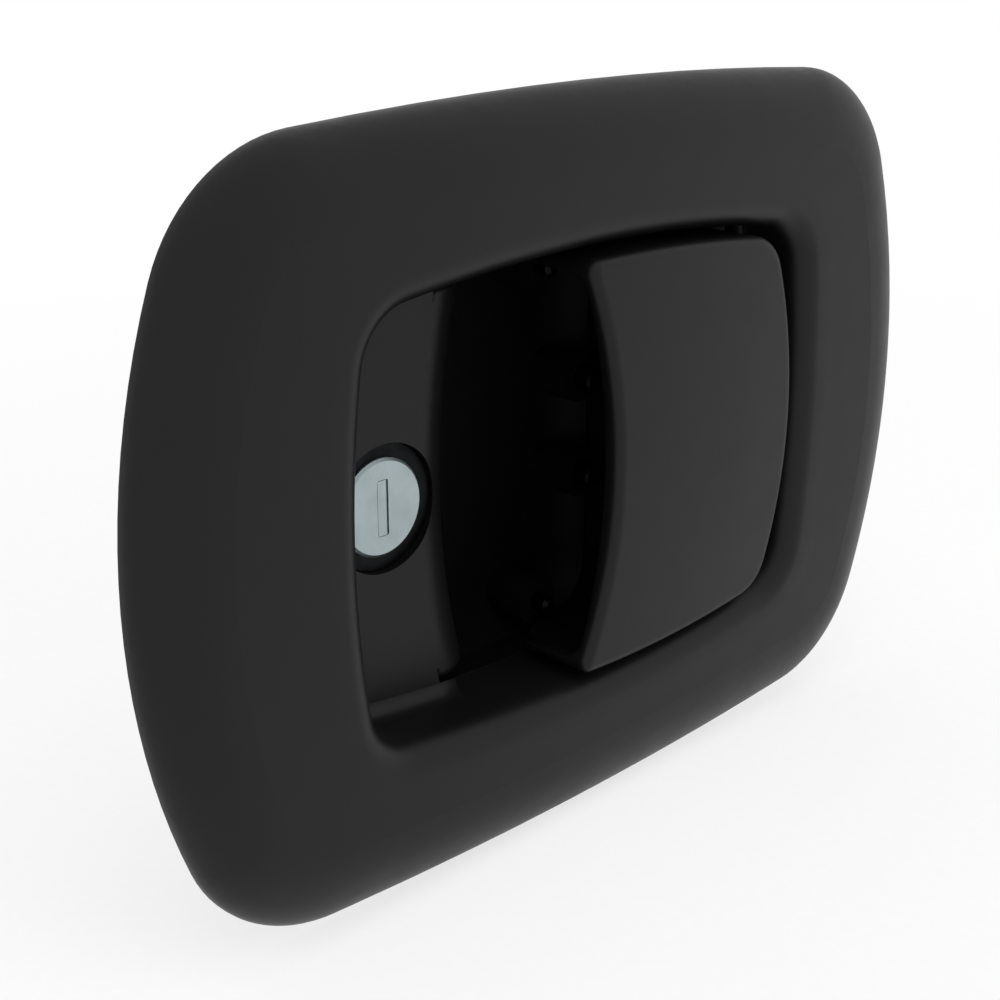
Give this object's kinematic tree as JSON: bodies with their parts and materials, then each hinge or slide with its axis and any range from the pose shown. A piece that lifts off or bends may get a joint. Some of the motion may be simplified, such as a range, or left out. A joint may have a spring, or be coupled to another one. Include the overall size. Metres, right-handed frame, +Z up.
{
  "type": "paddle latch",
  "caption": "Flush paddle latch: a bowed black frame with a finger recess, a pull paddle, a key lock and a slam bolt behind the door skin.",
  "frame": {"origin": "middle of the four mounting bores, in the plane of the door's skin", "axes": "+X towards the bolt's nose, +Y from the user into the door, +Z up"},
  "size_m": [0.172, 0.0355, 0.1122],
  "materials": {
    "black_nylon": "fine moulded grain",
    "pocket_plastic": "matt moulded",
    "gasket_rubber": "matt",
    "insert_brass": "turned",
    "zinc_steel": "bright zinc plate",
    "spring_steel": "drawn wire",
    "cast_zinc": "die cast, satin",
    "lock_body": "black plated",
    "lock_face": "satin plated",
    "wafer_brass": "stamped"
  },
  "bodies": {
    "housing": {"bezel": "black_nylon", "rim_gasket": "gasket_rubber", "mounting_inserts": "insert_brass", "pocket_housing": "pocket_plastic", "flange_screws": "zinc_steel", "guide_pins": "zinc_steel", "drawbar_keeper": "zinc_steel", "keeper_screws": "zinc_steel", "paddle_pivot_pin": "zinc_steel", "pivot_clips": "spring_steel", "paddle_return_spring": "spring_steel", "bolt_spring": "spring_steel", "bolt_case": "cast_zinc", "case_cover": "zinc_steel", "cover_screws": "zinc_steel", "case_screws": "zinc_steel", "lock_barrel": "lock_body", "lock_nut": "zinc_steel"},
    "paddle": {"paddle": "black_nylon"},
    "drawbar": {"drawbar": "zinc_steel"},
    "bolt": {"latch_bolt": "cast_zinc"},
    "lock": {"lock_plug": "lock_face", "lock_cam": "zinc_steel", "cam_washer": "zinc_steel", "cam_screw": "zinc_steel"},
    "shutter": {"keyway_shutter": "lock_face"},
    "wafers": {"lock_wafers": "wafer_brass"}
  },
  "joints": [
    {"name": "paddle_pull", "type": "hinge", "parent": "housing", "child": "paddle", "pos_m": [0.038, 0.0015, 0], "axis": [0, 0, 1], "range_deg": [0, 35], "stiffness_Nm_per_rad": 0.15, "springref_deg": -20.05, "deforming": ["paddle_return_spring"]},
    {"name": "drawbar_slide", "type": "slide", "parent": "housing", "child": "drawbar", "axis": [1, 0, 0], "range_m": [-0.0106, 0]},
    {"name": "bolt_slam", "type": "slide", "parent": "drawbar", "child": "bolt", "axis": [1, 0, 0], "range_m": [-0.0105, 0], "stiffness_N_per_m": 400, "springref_m": 0.01, "deforming": ["bolt_spring"]},
    {"name": "lock_turn", "type": "hinge", "parent": "housing", "child": "lock", "pos_m": [-0.0339, 0, 0], "axis": [0, 1, 0], "range_deg": [-90, 0]},
    {"name": "shutter_flap", "type": "hinge", "parent": "lock", "child": "shutter", "pos_m": [-0.03336, 0.0059, 0], "axis": [0, 0, -1], "range_deg": [0, 70], "stiffness_Nm_per_rad": 0.0002, "springref_deg": -17.19},
    {"name": "wafer_slide", "type": "slide", "parent": "lock", "child": "wafers", "axis": [0, 0, 1], "range_m": [0, 0.0008], "stiffness_N_per_m": 200, "springref_m": -0.0005}
  ],
  "couplings": [
    {"joint": "drawbar_slide", "follows": "paddle_pull", "m_per_rad": -0.017189}
  ]
}
